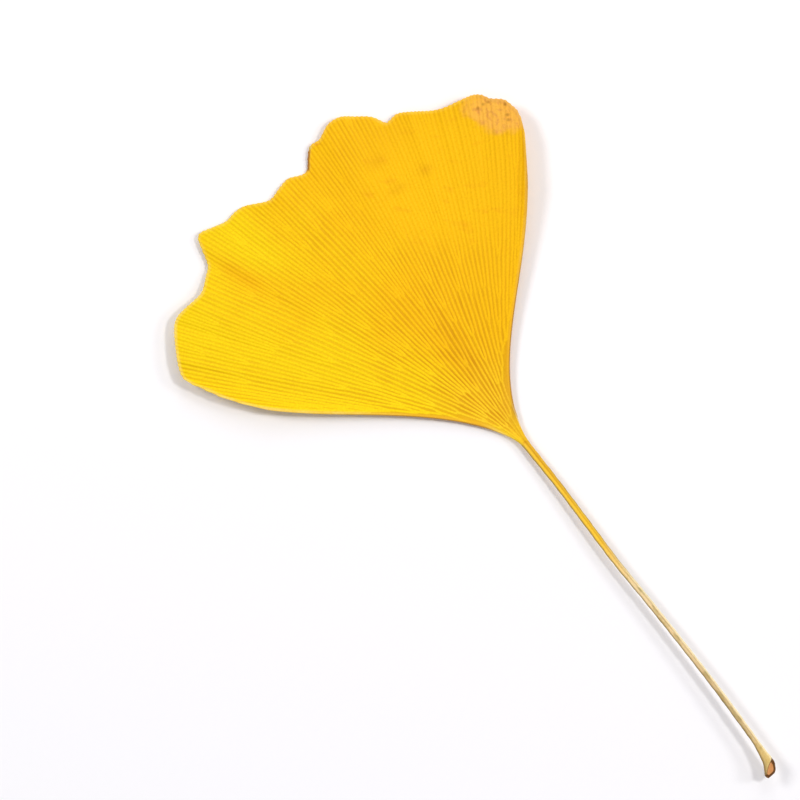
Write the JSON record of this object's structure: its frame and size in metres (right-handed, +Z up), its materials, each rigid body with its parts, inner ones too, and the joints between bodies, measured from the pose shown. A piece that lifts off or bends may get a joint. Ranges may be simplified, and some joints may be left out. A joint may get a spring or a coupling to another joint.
{
  "type": "ginkgo leaf",
  "caption": "Dried yellow ginkgo leaf with a fan blade of forking ridges, a scalloped outer margin and a long grooved stalk, lying flat.",
  "frame": {"origin": "on the flat spot of the underside that the leaf rests on, below its centre of mass", "axes": "+Y from the stalk's cut end to the blade's outer margin, +Z up from the surface to the leaf's upper face, +X to the right seen from above with the outer margin away"},
  "size_m": [0.0772, 0.1422, 0.0054],
  "materials": {
    "dried_leaf": "dry, matte to faintly waxy"
  },
  "bodies": {
    "root": {"ginkgo_leaf": "dried_leaf"}
  },
  "joints": []
}
